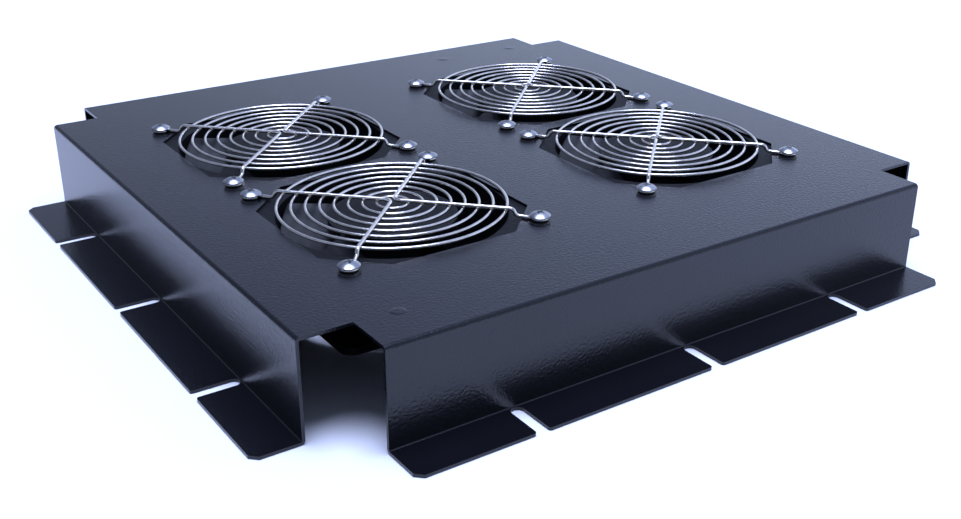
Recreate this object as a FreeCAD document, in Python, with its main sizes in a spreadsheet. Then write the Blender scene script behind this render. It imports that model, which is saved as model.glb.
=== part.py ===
import FreeCAD, Part
import math
import os
from types import SimpleNamespace

import Sketcher
from FreeCAD import Rotation, Vector

# Rack fan tray: a folded sheet-steel pan that closes the roof opening of a server cabinet and
# carries four 120 mm mains fans under octagonal cut-outs, each with a wire finger guard on top.
# Frame: +Z up, origin in the middle of the plane that the four flanges rest on, +Y to the back.

DIMENSIONS = [
    # folded pan
    ("plate_size", 375.0, "outside of one wall to outside of the opposite wall"),
    ("tray_height", 49.5, "underside of the flanges to the top of the plate"),
    ("sheet", 1.5, "thickness of the folded sheet"),
    ("bend_inner", 0.6, "inner radius of every fold"),
    ("notch", 26.0, "side of the square notch at each corner"),
    ("flange_width", 22.5, "outside of the wall to the free edge of the flange"),
    ("flange_corner", 3.5, "chamfer on the outer corners of each flange"),
    ("flange_slots", 3, "fixing slots in each flange"),
    ("slot_pitch", 100.0, "distance between neighbouring slots"),
    ("slot_width", 6.5, "width of a fixing slot, which is open at the free edge"),
    ("slot_end_gap", 0.6, "slot end to the face of the wall, where the fold begins"),
    ("tab_corner", 1.5, "rounding of the tabs beside each slot mouth"),
    # fan layout and cut-outs
    ("fan_gap_x", 54.0, "left fan frame to right fan frame"),
    ("fan_gap_y", 7.5, "front fan frame to back fan frame"),
    ("cutout_ledge", 1.2, "edge of the fan frame to the flats of the cut-out over it"),
    ("cutout_corner", 24.5, "chamfer of the cut-out beside each screw"),
    ("hole_inset", 7.1, "edge of the fan frame to the fixing holes, 104.8 apart on a 120 mm fan"),
    ("hole_radius", 2.25, "clearance hole for an M4 screw"),
    # fan frame
    ("frame_size", 119.0, "side of the square fan frame"),
    ("frame_depth", 38.0, "depth of the fan"),
    ("frame_corner", 6.5, "corner radius of the frame flanges"),
    ("frame_flange", 4.0, "thickness of the frame flanges"),
    ("duct_ledge", 1.7, "edge of the fan frame to the inside of the round air duct"),
    ("duct_wall", 1.4, "wall of the air duct between the two flanges"),
    ("base_radius", 32.5, "motor base plate"),
    ("base_thickness", 3.5, "thickness of the motor base plate"),
    ("arm_count", 4, "arms between the motor base and the duct"),
    ("arm_width", 7.0, "width of an arm"),
    ("arm_depth", 4.0, "depth of an arm"),
    ("tube_radius", 7.5, "outside of the bearing tube"),
    ("tube_top_gap", 8.0, "top of the bearing tube to the inside of the rotor cup"),
    ("bearing_radius", 5.0, "outside of the sleeve bearing"),
    ("carrier_width", 14.0, "terminal carrier, along the frame"),
    ("carrier_depth", 7.0, "terminal carrier, across the frame"),
    ("carrier_height", 9.0, "terminal carrier, upwards"),
    ("carrier_inset", 9.5, "front edge of the frame to the terminal carrier"),
    ("tab_width", 2.8, "spade terminal, width"),
    ("tab_thickness", 0.5, "spade terminal, thickness"),
    ("tab_length", 7.0, "spade terminal, length outside its carrier"),
    ("tab_spacing", 7.0, "distance between the two spade terminals"),
    # rotor
    ("hub_radius", 32.5, "outside of the rotor cup"),
    ("hub_recess", 1.2, "face of the fan frame to the top of the rotor cup"),
    ("hub_height", 27.5, "height of the rotor cup"),
    ("hub_wall", 2.0, "wall of the rotor cup"),
    ("boss_radius", 5.5, "boss that holds the shaft"),
    ("boss_height", 6.0, "boss below the top of the cup"),
    ("blade_count", 5, "blades of the impeller"),
    ("tip_gap", 1.8, "blade tip to the duct"),
    ("blade_recess", 1.5, "face of the fan frame to the upper edge of the blades"),
    ("blade_height", 25.5, "upper edge to lower edge of a blade"),
    ("blade_span", 60.0, "angle between the upper and the lower edge of a blade, degrees"),
    ("blade_sweep", 13.0, "distance of a blade edge from the line through the axis"),
    ("blade_thickness", 2.2, "thickness of a blade, measured upwards"),
    ("cage_wall", 2.2, "wall of the rotor cage pressed into the cup"),
    ("cage_height", 20.0, "height of the rotor cage"),
    ("shaft_radius", 2.0, "rotor shaft"),
    ("shaft_length", 29.0, "length of the rotor shaft"),
    ("running_fit", 0.02, "radial clearance of the shaft in its bearing"),
    # stator
    ("air_gap", 0.4, "rotor cage to the pole faces"),
    ("stack_height", 14.0, "height of the stator stack"),
    ("stack_ring", 5.5, "radial width of the ring round the bearing tube"),
    ("pole_neck", 9.0, "width of a pole neck"),
    ("pole_shoe", 4.0, "radial depth of a pole shoe"),
    ("pole_gap", 6.0, "gap between neighbouring pole shoes"),
    ("coil_wall", 4.0, "build of a winding beside and above its pole neck"),
    # finger guard
    ("ring_count", 8, "rings of the finger guard"),
    ("first_ring", 8.0, "radius of the smallest ring"),
    ("ring_inset", 0.8, "inside of the air duct to the middle of the outermost ring"),
    ("ring_wire", 1.6, "wire diameter of the rings"),
    ("ring_lift", 3.3, "plate to the middle of the ring wire"),
    ("spoke_wire", 2.0, "wire diameter of the spokes"),
    ("weld_sink", 0.2, "depth to which a spoke is welded into a ring"),
    ("spoke_bend", 4.6, "radius of the bend in the middle of each spoke wire"),
    ("jog_start", 2.0, "outermost ring to the start of the step down"),
    ("jog_bend", 2.6, "radius of the two bends of the step down"),
    ("eye_radius", 3.7, "screw to the middle of the wire eye"),
    # fasteners
    ("screw_radius", 2.0, "M4 screw"),
    ("screw_length", 12.0, "length under the head"),
    ("head_radius", 5.3, "screw head"),
    ("head_rim", 0.6, "thickness of the head at its edge"),
    ("head_height", 2.5, "height of the domed head"),
    ("nut_flats", 7.0, "M4 nut, across the flats"),
    ("nut_height", 3.2, "M4 nut, height"),
    ("stud_radius", 3.0, "M6 weld stud"),
    ("stud_length", 16.0, "length of a weld stud"),
    ("stud_inset", 24.5, "weld stud to the outside of the wall in front of it or behind it"),
    ("stud_side", 46.0, "weld stud to the outside of the wall beside it"),
    ("stud_nut_flats", 10.0, "M6 nut, across the flats"),
    ("stud_nut_height", 5.0, "M6 nut, height"),
    ("washer_radius", 6.0, "M6 washer"),
    ("washer_thickness", 1.2, "M6 washer, thickness"),
    ("block_pitch", 57.0, "distance between the two studs of the terminal block"),
    ("block_clear", 2.0, "washer to the housing of the terminal block"),
    ("block_end", 7.5, "stud to the end of the terminal block"),
    ("block_width", 18.0, "terminal block, front to back"),
    ("block_foot", 3.0, "foot of the terminal block"),
    ("block_height", 14.0, "height of the terminal block"),
    ("block_ways", 3, "ways of the terminal block: live, neutral and earth"),
    ("way_wall", 1.2, "wall between neighbouring ways"),
    ("way_depth", 9.0, "depth of the wire entries"),
]

# Each fan: side, row, and the angle in degrees at which its rotor stands.
FANS = {
    "front_left": (-1, -1, 1.0),
    "front_right": (1, -1, 58.0),
    "back_left": (-1, 1, 4.0),
    "back_right": (1, 1, -2.0),
}

BLADE_STATIONS = 5
BLADE_CAMBER = 0.06

doc = FreeCAD.newDocument("rack_fan_tray")


class Size:
    """A number from the sheet, kept together with the expression that works it out."""

    def __init__(self, value, text):
        self.value = value
        self.text = text

    def __add__(self, other):
        return Size(self.value + number(other), f"({self.text} + {words(other)})")

    def __sub__(self, other):
        return Size(self.value - number(other), f"({self.text} - {words(other)})")

    def __mul__(self, other):
        return Size(self.value * number(other), f"({self.text} * {words(other)})")

    def __truediv__(self, other):
        return Size(self.value / number(other), f"({self.text} / {words(other)})")

    def __neg__(self):
        return Size(-self.value, f"(-{self.text})")


def number(size):
    return size.value if isinstance(size, Size) else size


def words(size):
    return size.text if isinstance(size, Size) else repr(size)


def make_sheet():
    """Write every driving dimension into the spreadsheet and give it its alias."""
    sheet = doc.addObject("Spreadsheet::Sheet", "dims")
    for row, (alias, value, meaning) in enumerate(DIMENSIONS, start=1):
        sheet.set(f"A{row}", alias)
        sheet.set(f"B{row}", str(value))
        sheet.set(f"C{row}", meaning)
        sheet.setAlias(f"B{row}", alias)
    doc.recompute()
    return SimpleNamespace(**{alias: Size(value, f"dims.{alias}") for alias, value, _ in DIMENSIONS})


d = make_sheet()

# Sizes that several pieces share.
fold_outer = d.bend_inner + d.sheet
wall_face = d.plate_size / 2
under_plate = d.tray_height - d.sheet
fan_pitch_x = d.frame_size + d.fan_gap_x
fan_pitch_y = d.frame_size + d.fan_gap_y
cutout_half = d.frame_size / 2 - d.cutout_ledge
hole_pitch = d.frame_size - d.hole_inset * 2
duct_radius = d.frame_size / 2 - d.duct_ledge
blade_tip = duct_radius - d.tip_gap
cup_inside = d.hub_radius - d.hub_wall
cage_inside = cup_inside - d.cage_wall
cup_roof = -(d.hub_recess + d.hub_wall)
tube_top = cup_roof - d.tube_top_gap
tube_bottom = d.base_thickness - d.frame_depth
screw_circle = hole_pitch * math.sqrt(0.5)
outer_ring = duct_radius - d.ring_inset
ring_pitch = (outer_ring - d.first_ring) / (d.ring_count - 1)
SAME_AREA = math.sqrt(math.pi / 4)
ring_side = d.ring_wire * SAME_AREA
eye_side = d.spoke_wire * SAME_AREA
spoke_level = d.ring_lift + (ring_side + eye_side) / 2 - d.weld_sink


# ---------------------------------------------------------------- small helpers


def bind(thing, **sizes):
    """Tie properties to the sheet; a double underscore stands for the dot of a property path."""
    for path, size in sizes.items():
        thing.setExpression(path.replace("__", "."), words(size))


def new_body(name, x=0, y=0, z=0, turn=0.0):
    """A sub-part: its Label is the name of its node."""
    body = doc.addObject("PartDesign::Body", name)
    body.Label = name
    body.AllowCompound = True
    body.Placement.Rotation = Rotation(Vector(0, 0, 1), turn)
    bind(body, Placement__Base__x=x, Placement__Base__y=y, Placement__Base__z=z)
    return body


def origin_part(body, role):
    return next(part for part in body.Origin.OriginFeatures if part.Role == role)


def new_sketch(body, name, plane="XY_Plane", lift=0):
    """A sketch on one of the body's own planes, moved along the plane's normal by lift."""
    sketch = body.newObject("Sketcher::SketchObject", f"{body.Name}_{name}")
    sketch.AttachmentSupport = [(origin_part(body, plane), "")]
    sketch.MapMode = "FlatFace"
    bind(sketch, AttachmentOffset__Base__z=lift)
    return sketch


def new_swung_sketch(body, name, distance, swing):
    """An upright sketch at a distance from the body's own axis, swung round that axis."""
    sketch = new_sketch(body, name, "XZ_Plane")
    sketch.AttachmentOffset.Rotation = Rotation(Vector(0, 1, 0), 1.0)
    sine = f"sin(1 deg * {words(swing)})"
    cosine = f"cos(1 deg * {words(swing)})"
    sketch.setExpression("AttachmentOffset.Rotation.Angle", f"1 deg * {words(swing)}")
    sketch.setExpression("AttachmentOffset.Base.x", f"{words(distance)} * {sine}")
    sketch.setExpression("AttachmentOffset.Base.z", f"{words(distance)} * {cosine}")
    return sketch


def place(sketch, geometry, point, x=None, y=None):
    """Hold one point of a sketch element at its distances from the sketch's origin."""
    for kind, size in (("DistanceX", x), ("DistanceY", y)):
        if size is not None:
            index = sketch.addConstraint(Sketcher.Constraint(kind, -1, 1, geometry, point, number(size)))
            sketch.setExpression(f"Constraints[{index}]", words(size))


def set_radius(sketch, geometry, radius):
    index = sketch.addConstraint(Sketcher.Constraint("Radius", geometry, number(radius)))
    sketch.setExpression(f"Constraints[{index}]", words(radius))


def circle(sketch, x, y, radius):
    shape = Part.Circle(Vector(number(x), number(y), 0), Vector(0, 0, 1), number(radius))
    index = sketch.addGeometry(shape, False)
    place(sketch, index, 3, x, y)
    set_radius(sketch, index, radius)


def add_line(sketch, begin, end):
    return sketch.addGeometry(Part.LineSegment(begin, end), False)


def add_arc(sketch, centre, begin, end):
    """Short arc from begin to end; returns its index and the numbers of its two end points."""
    clockwise = (begin - centre).cross(end - centre).z < 0
    first, last = (end, begin) if clockwise else (begin, end)
    angles = [math.atan2(spot.y - centre.y, spot.x - centre.x) for spot in (first, last)]
    ring = Part.Circle(centre, Vector(0, 0, 1), begin.distanceToPoint(centre))
    index = sketch.addGeometry(Part.ArcOfCircle(ring, *angles), False)
    return (index, 2, 1) if clockwise else (index, 1, 2)


def outline(sketch, corners):
    """Closed outline through (x, y) or (x, y, rounding) corners.

    A rounded corner joins a level line to an upright one.
    """
    corners = [corner if len(corner) == 3 else (*corner, None) for corner in corners]
    count = len(corners)
    points = [Vector(number(x), number(y), 0) for x, y, _ in corners]
    arrivals, departures = [], []
    for index, (_, _, rounding) in enumerate(corners):
        here = points[index]
        before = (points[index - 1] - here).normalize()
        after = (points[(index + 1) % count] - here).normalize()
        reach = number(rounding) if rounding is not None else 0
        arrivals.append(here + before * reach)
        departures.append(here + after * reach)
    lines = [add_line(sketch, departures[k], arrivals[(k + 1) % count]) for k in range(count)]
    for index, (_, _, rounding) in enumerate(corners):
        arriving, leaving = lines[index - 1], lines[index]
        if rounding is None:
            sketch.addConstraint(Sketcher.Constraint("Coincident", arriving, 2, leaving, 1))
            continue
        centre = arrivals[index] + departures[index] - points[index]
        arc, first, last = add_arc(sketch, centre, arrivals[index], departures[index])
        sketch.addConstraint(Sketcher.Constraint("Tangent", arriving, 2, arc, first))
        sketch.addConstraint(Sketcher.Constraint("Tangent", arc, last, leaving, 1))
        set_radius(sketch, arc, rounding)
    for index, line in enumerate(lines):
        x, y, _ = corners[index]
        next_x, next_y, _ = corners[(index + 1) % count]
        if words(x) == words(next_x):
            sketch.addConstraint(Sketcher.Constraint("Vertical", line))
            place(sketch, line, 1, x=x)
        elif words(y) == words(next_y):
            sketch.addConstraint(Sketcher.Constraint("Horizontal", line))
            place(sketch, line, 1, y=y)
    for index, (x, y, rounding) in enumerate(corners):
        sides = (corners[index - 1], corners[(index + 1) % count])
        held_x = any(words(side[0]) == words(x) for side in sides)
        held_y = any(words(side[1]) == words(y) for side in sides)
        if rounding is None:
            place(sketch, lines[index], 1, None if held_x else x, None if held_y else y)


def box_outline(sketch, x, y, width, height, rounding=None):
    """Rectangle with its middle at (x, y)."""
    left, right = x - width / 2, x + width / 2
    low, high = y - height / 2, y + height / 2
    corners = ((left, low), (right, low), (right, high), (left, high))
    outline(sketch, [(cx, cy, rounding) for cx, cy in corners])


def regular_outline(sketch, x, y, flats, sides=6):
    """Regular polygon with an even number of sides, two of them upright, given across its flats."""
    step = 2 * math.pi / sides
    reach = flats / (2 * math.cos(step / 2))
    spots = [(math.cos(step * (k + 0.5)), math.sin(step * (k + 0.5))) for k in range(sides)]
    corners = [(x + reach * across, y + reach * along) for across, along in spots]
    for k in range(sides):
        ax, ay = corners[k]
        bx, by = corners[(k + 1) % sides]
        line = Part.LineSegment(Vector(number(ax), number(ay), 0), Vector(number(bx), number(by), 0))
        sketch.addGeometry(line, False)
    first = sketch.GeometryCount - sides
    for k in range(sides):
        before = first + (k - 1) % sides
        sketch.addConstraint(Sketcher.Constraint("Coincident", before, 2, first + k, 1))
        place(sketch, first + k, 1, *corners[k])


def finish_feature(body, feature):
    body.Tip = feature
    return feature


def pad(body, sketch, length, downwards=False, both_ways=False):
    feature = body.newObject("PartDesign::Pad", f"{sketch.Name}_pad")
    feature.Profile = sketch
    feature.Reversed = downwards
    feature.SideType = "Symmetric" if both_ways else "One side"
    bind(feature, Length=length)
    return finish_feature(body, feature)


def pocket(body, sketch, length=None, upwards=False):
    """Cut away from the sketch, against its normal unless upwards; right through if no length is given."""
    feature = body.newObject("PartDesign::Pocket", f"{sketch.Name}_pocket")
    feature.Profile = sketch
    feature.Reversed = upwards
    if length is None:
        feature.Type = "ThroughAll"
    else:
        bind(feature, Length=length)
    return finish_feature(body, feature)


def revolve(body, sketch, axis="V_Axis", angle=360.0, backwards=False):
    feature = body.newObject("PartDesign::Revolution", f"{sketch.Name}_turned")
    feature.Profile = sketch
    feature.ReferenceAxis = (sketch, [axis])
    feature.Angle = angle
    feature.Reversed = backwards
    return finish_feature(body, feature)


def repeat_round(body, features, count):
    """Repeat features evenly round the body's own upright axis."""
    pattern = body.newObject("PartDesign::PolarPattern", f"{features[-1].Name}_round")
    pattern.Originals = features
    pattern.Axis = (origin_part(body, "Z_Axis"), [""])
    pattern.Angle = 360.0
    bind(pattern, Occurrences=count)
    return finish_feature(body, pattern)


def upright_line(sketch, x, low, high):
    """A construction line that serves as the axis of a turned piece away from the body's own axis."""
    line = Part.LineSegment(Vector(number(x), number(low), 0), Vector(number(x), number(high), 0))
    index = sketch.addGeometry(line, True)
    place(sketch, index, 1, x, low)
    place(sketch, index, 2, x, high)


def edges_where(feature, test):
    """Names of the straight upright edges of a feature whose middle passes the test."""
    names = []
    for index, edge in enumerate(feature.Shape.Edges, start=1):
        along = edge.tangentAt(edge.FirstParameter)
        middle = edge.valueAt((edge.FirstParameter + edge.LastParameter) / 2)
        if abs(along.z) > 0.999 and test(middle):
            names.append(f"Edge{index}")
    return names


def dress_edges(body, kind, test, prop, size):
    """Round or chamfer the upright edges that pass the test."""
    doc.recompute()
    base = body.Tip
    feature = body.newObject(f"PartDesign::{kind}", f"{body.Name}_{kind.lower()}")
    feature.Base = (base, edges_where(base, test))
    bind(feature, **{prop: size})
    return finish_feature(body, feature)


# ---------------------------------------------------------------- folded pan


def fan_spots():
    """Centres of the fans, as (x, y) sizes."""
    return [(fan_pitch_x / 2 * side, fan_pitch_y / 2 * row) for side, row, _ in FANS.values()]


def make_tray():
    """Plate, four walls and four outward flanges, folded from one sheet, with open corners."""
    body = new_body("tray_pan")
    side = new_sketch(body, "side", "XZ_Plane")
    outline(side, [
        (0, d.tray_height),
        (wall_face, d.tray_height, fold_outer),
        (wall_face, d.sheet, d.bend_inner),
        (wall_face + d.flange_width, d.sheet),
        (wall_face + d.flange_width, 0),
        (wall_face - d.sheet, 0, fold_outer),
        (wall_face - d.sheet, under_plate, d.bend_inner),
        (0, under_plate),
    ])
    folded_side = pad(body, side, d.plate_size - d.notch * 2, both_ways=True)
    repeat_round(body, [folded_side], 4)

    cutouts = new_sketch(body, "cutouts", lift=d.tray_height)
    for x, y in fan_spots():
        outline(cutouts, octagon(x, y, cutout_half, d.cutout_corner))
    pocket(body, cutouts, d.sheet)

    holes = new_sketch(body, "screw_holes", lift=d.tray_height)
    for x, y in fan_spots():
        for across in (-1, 1):
            for along in (-1, 1):
                circle(holes, x + hole_pitch / 2 * across, y + hole_pitch / 2 * along, d.hole_radius)
    pocket(body, holes, d.sheet)

    slot_end = wall_face + d.slot_end_gap + d.slot_width / 2
    free_edge = wall_face + d.flange_width
    runs = new_sketch(body, "slot_runs")
    ends = new_sketch(body, "slot_ends")
    for place_in_row in range(d.flange_slots.value):
        along = d.slot_pitch * place_in_row - d.slot_pitch * (d.flange_slots - 1) / 2
        box_outline(runs, (slot_end + free_edge) / 2, along, free_edge - slot_end, d.slot_width)
        circle(ends, slot_end, along, d.slot_width / 2)
    slots = [pocket(body, runs, upwards=True), pocket(body, ends, upwards=True)]
    repeat_round(body, slots, 4)

    reach = free_edge.value
    flange_end = wall_face.value - d.notch.value

    def at_free_edge(point):
        return abs(max(abs(point.x), abs(point.y)) - reach) < 0.01

    def at_flange_end(point):
        return at_free_edge(point) and abs(min(abs(point.x), abs(point.y)) - flange_end) < 0.01

    dress_edges(body, "Chamfer", at_flange_end, "Size", d.flange_corner)

    def at_slot_mouth(point):
        beside = min(abs(point.x), abs(point.y))
        return at_free_edge(point) and beside < flange_end - d.flange_corner.value - 0.01

    dress_edges(body, "Fillet", at_slot_mouth, "Radius", d.tab_corner)
    return body


def octagon(x, y, half, corner):
    """Corners of a square with cut corners."""
    short = half - corner
    return [
        (x - short, y - half), (x + short, y - half), (x + half, y - short), (x + half, y + short),
        (x + short, y + half), (x - short, y + half), (x - half, y + short), (x - half, y - short),
    ]


# ---------------------------------------------------------------- fan, from its top face down


def make_frame(name, x, y):
    """Cast frame: round duct between two square flanges, motor base on arms, bearing tube."""
    body = new_body(f"fan_frame_{name}", x, y, under_plate)
    zero = Size(0, "0")
    barrel = new_sketch(body, "barrel")
    circle(barrel, 0, 0, duct_radius + d.duct_wall)
    circle(barrel, 0, 0, duct_radius)
    pad(body, barrel, d.frame_depth, downwards=True)
    top = new_sketch(body, "top_flange")
    bottom = new_sketch(body, "bottom_flange", lift=-d.frame_depth)
    for sketch in (top, bottom):
        box_outline(sketch, zero, zero, d.frame_size, d.frame_size, d.frame_corner)
        circle(sketch, 0, 0, duct_radius)
        for across in (-1, 1):
            for along in (-1, 1):
                circle(sketch, hole_pitch / 2 * across, hole_pitch / 2 * along, d.hole_radius)
    pad(body, top, d.frame_flange, downwards=True)
    pad(body, bottom, d.frame_flange)

    arm = new_sketch(body, "arm", lift=-d.frame_depth)
    inner = d.base_radius / 2
    outer = duct_radius + d.duct_wall / 2
    box_outline(arm, (inner + outer) / 2, zero, outer - inner, d.arm_width)
    arm_pad = pad(body, arm, d.arm_depth)
    repeat_round(body, [arm_pad], d.arm_count)
    base = new_sketch(body, "motor_base", lift=-d.frame_depth)
    circle(base, 0, 0, d.base_radius)
    pad(body, base, d.base_thickness)
    tube = new_sketch(body, "bearing_tube", lift=tube_bottom)
    circle(tube, 0, 0, d.tube_radius)
    circle(tube, 0, 0, d.bearing_radius)
    pad(body, tube, tube_top - tube_bottom)

    carrier = new_sketch(body, "terminal_carrier", lift=d.frame_flange - d.frame_depth)
    box_outline(carrier, *carrier_spot(), d.carrier_depth, d.carrier_width)
    pad(body, carrier, d.carrier_height)
    return body


def carrier_spot():
    """Middle of the terminal carrier, outside the duct in the front right corner of the frame."""
    x = d.frame_size / 2 - d.carrier_depth / 2
    y = d.frame_size / 2 - d.carrier_inset - d.carrier_width / 2
    return x, -y


def make_terminals(name, x, y):
    """Two spade terminals that stand up from the carrier."""
    body = new_body(f"spade_terminals_{name}", x, y, under_plate)
    tabs = new_sketch(body, "tabs", lift=d.frame_flange - d.frame_depth + d.carrier_height)
    carrier_x, carrier_y = carrier_spot()
    for side in (-1, 1):
        box_outline(tabs, carrier_x, carrier_y + d.tab_spacing / 2 * side, d.tab_thickness, d.tab_width)
    pad(body, tabs, d.tab_length)
    return body


def make_impeller(name, x, y, turn):
    """Rotor cup with its shaft boss and five swept, twisted blades."""
    body = new_body(f"impeller_{name}", x, y, under_plate, turn)
    skirt = -(d.hub_recess + d.hub_height)
    boss = cup_roof - d.boss_height
    cup = new_sketch(body, "cup", "XZ_Plane")
    outline(cup, [
        (0, -d.hub_recess),
        (d.hub_radius, -d.hub_recess),
        (d.hub_radius, skirt),
        (cup_inside, skirt),
        (cup_inside, cup_roof),
        (d.boss_radius, cup_roof),
        (d.boss_radius, boss),
        (d.shaft_radius, boss),
        (d.shaft_radius, cup_roof),
        (0, cup_roof),
    ])
    revolve(body, cup)

    inner = beside(d.hub_radius - d.hub_wall / 2, d.blade_sweep)
    outer = beside(blade_tip, d.blade_sweep)
    highest = -(d.blade_recess + d.blade_thickness / 2)
    fall = d.blade_height - d.blade_thickness
    sections = []
    for station in range(BLADE_STATIONS):
        share = station / (BLADE_STATIONS - 1)
        camber = BLADE_CAMBER * math.sin(math.pi * share)
        section = new_swung_sketch(body, f"blade_{station}", d.blade_sweep, d.blade_span * share)
        level = highest - fall * (share + camber)
        box_outline(section, (inner + outer) / 2, level, outer - inner, d.blade_thickness)
        sections.append(section)
    blade = body.newObject("PartDesign::AdditiveLoft", f"{body.Name}_blade")
    blade.Profile = sections[0]
    blade.Sections = sections[1:]
    blade.Ruled = False
    finish_feature(body, blade)
    repeat_round(body, [blade], d.blade_count)
    return body


def beside(radius, offset):
    """Where a line at the given offset from the centre meets a circle."""
    length = math.sqrt(radius.value**2 - offset.value**2)
    return Size(length, f"sqrt({radius.text} ^ 2 - {offset.text} ^ 2)")


def make_cage(name, x, y, turn):
    """Rotor cage pressed into the cup."""
    body = new_body(f"rotor_cage_{name}", x, y, under_plate, turn)
    ring = new_sketch(body, "ring", lift=-(d.hub_recess + d.hub_height))
    circle(ring, 0, 0, cup_inside)
    circle(ring, 0, 0, cage_inside)
    pad(body, ring, d.cage_height)
    return body


def make_shaft(name, x, y, turn):
    """Shaft pressed into the boss of the cup, running in the sleeve bearing."""
    body = new_body(f"rotor_shaft_{name}", x, y, under_plate, turn)
    rod = new_sketch(body, "rod", lift=cup_roof)
    circle(rod, 0, 0, d.shaft_radius)
    pad(body, rod, d.shaft_length, downwards=True)
    return body


def make_bearing(name, x, y):
    """Sleeve bearing pressed into the bearing tube."""
    body = new_body(f"sleeve_bearing_{name}", x, y, under_plate)
    bush = new_sketch(body, "bush", lift=tube_bottom)
    circle(bush, 0, 0, d.bearing_radius)
    circle(bush, 0, 0, d.shaft_radius + d.running_fit)
    pad(body, bush, tube_top - tube_bottom)
    return body


def stack_levels():
    """Lower and upper face of the stator stack, level with the middle of the rotor cage."""
    middle = d.cage_height / 2 - d.hub_recess - d.hub_height
    return middle - d.stack_height / 2, middle + d.stack_height / 2


def make_stator(name, x, y):
    """Laminated stack with four poles, on the bearing tube."""
    body = new_body(f"stator_stack_{name}", x, y, under_plate)
    low, _ = stack_levels()
    pole_face = cage_inside - d.air_gap
    ring_edge = d.tube_radius + d.stack_ring
    whole = new_sketch(body, "laminations", lift=low)
    circle(whole, 0, 0, pole_face)
    circle(whole, 0, 0, d.tube_radius)
    pad(body, whole, d.stack_height)
    windows = new_sketch(body, "windows", lift=low + d.stack_height)
    shoe = pole_face - d.pole_shoe
    for side in (-1, 1):
        across = (d.pole_neck + d.coil_wall) / 2 * side
        box_outline(windows, (ring_edge + shoe) / 2, across, shoe - ring_edge, d.coil_wall)
    slot = new_sketch(body, "pole_gap", lift=low + d.stack_height)
    gap_root = ring_edge * math.sqrt(0.5)
    gap_mouth = pole_face * math.sqrt(0.5) + d.pole_gap
    half_gap = d.pole_gap * math.sqrt(0.125)
    outline(slot, [
        (gap_root + half_gap, gap_root - half_gap),
        (gap_mouth + half_gap, gap_mouth - half_gap),
        (gap_mouth - half_gap, gap_mouth + half_gap),
        (gap_root - half_gap, gap_root + half_gap),
    ])
    cuts = [pocket(body, sketch, d.stack_height) for sketch in (windows, slot)]
    repeat_round(body, cuts, 4)
    return body


def make_windings(name, x, y):
    """Four coils, one round each pole neck."""
    body = new_body(f"windings_{name}", x, y, under_plate)
    low, high = stack_levels()
    ring_edge = d.tube_radius + d.stack_ring
    shoe = cage_inside - d.air_gap - d.pole_shoe
    middle = (low + high) / 2
    coil = new_sketch(body, "coil", "YZ_Plane", lift=ring_edge)
    wide = d.pole_neck + d.coil_wall * 2
    tall = d.stack_height + d.coil_wall * 2
    box_outline(coil, Size(0, "0"), middle, wide, tall)
    box_outline(coil, Size(0, "0"), middle, d.pole_neck, d.stack_height)
    one = pad(body, coil, shoe - ring_edge)
    repeat_round(body, [one], 4)
    return body


# ---------------------------------------------------------------- finger guard, from the plate up


def make_guard(name, x, y):
    """Eight rings under two bent spoke wires, each wire ending in an eye under a screw at both ends."""
    body = new_body(f"finger_guard_{name}", x, y, d.tray_height, 45.0)
    zero = Size(0, "0")
    rings = new_sketch(body, "rings", "XZ_Plane")
    for ring in range(d.ring_count.value):
        box_outline(rings, d.first_ring + ring_pitch * ring, d.ring_lift, ring_side, ring_side)
    revolve(body, rings)

    arm_end = new_sketch(body, "arm_section", "YZ_Plane", lift=d.spoke_bend)
    box_outline(arm_end, zero, spoke_level, eye_side, eye_side)
    route = new_sketch(body, "arm_route", "XZ_Plane")
    step_down(route, d.spoke_bend, outer_ring + d.jog_start, screw_circle - d.eye_radius, eye_side / 2)
    arm = body.newObject("PartDesign::AdditivePipe", f"{body.Name}_arm")
    arm.Profile = arm_end
    arm.Spine = (route, [])
    finish_feature(body, arm)
    repeat_round(body, [arm], 4)

    bend = new_sketch(body, "bend_section", "YZ_Plane", lift=d.spoke_bend)
    box_outline(bend, zero, spoke_level, eye_side, eye_side)
    upright_line(bend, -d.spoke_bend, zero, spoke_level)
    turned = revolve(body, bend, "Axis0", 90.0)
    repeat_round(body, [turned], 2)

    eye = new_sketch(body, "eye", "XZ_Plane")
    box_outline(eye, screw_circle - d.eye_radius, eye_side / 2, eye_side, eye_side)
    upright_line(eye, screw_circle, zero, eye_side)
    loop = revolve(body, eye, "Axis0")
    repeat_round(body, [loop], 4)
    return body


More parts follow.
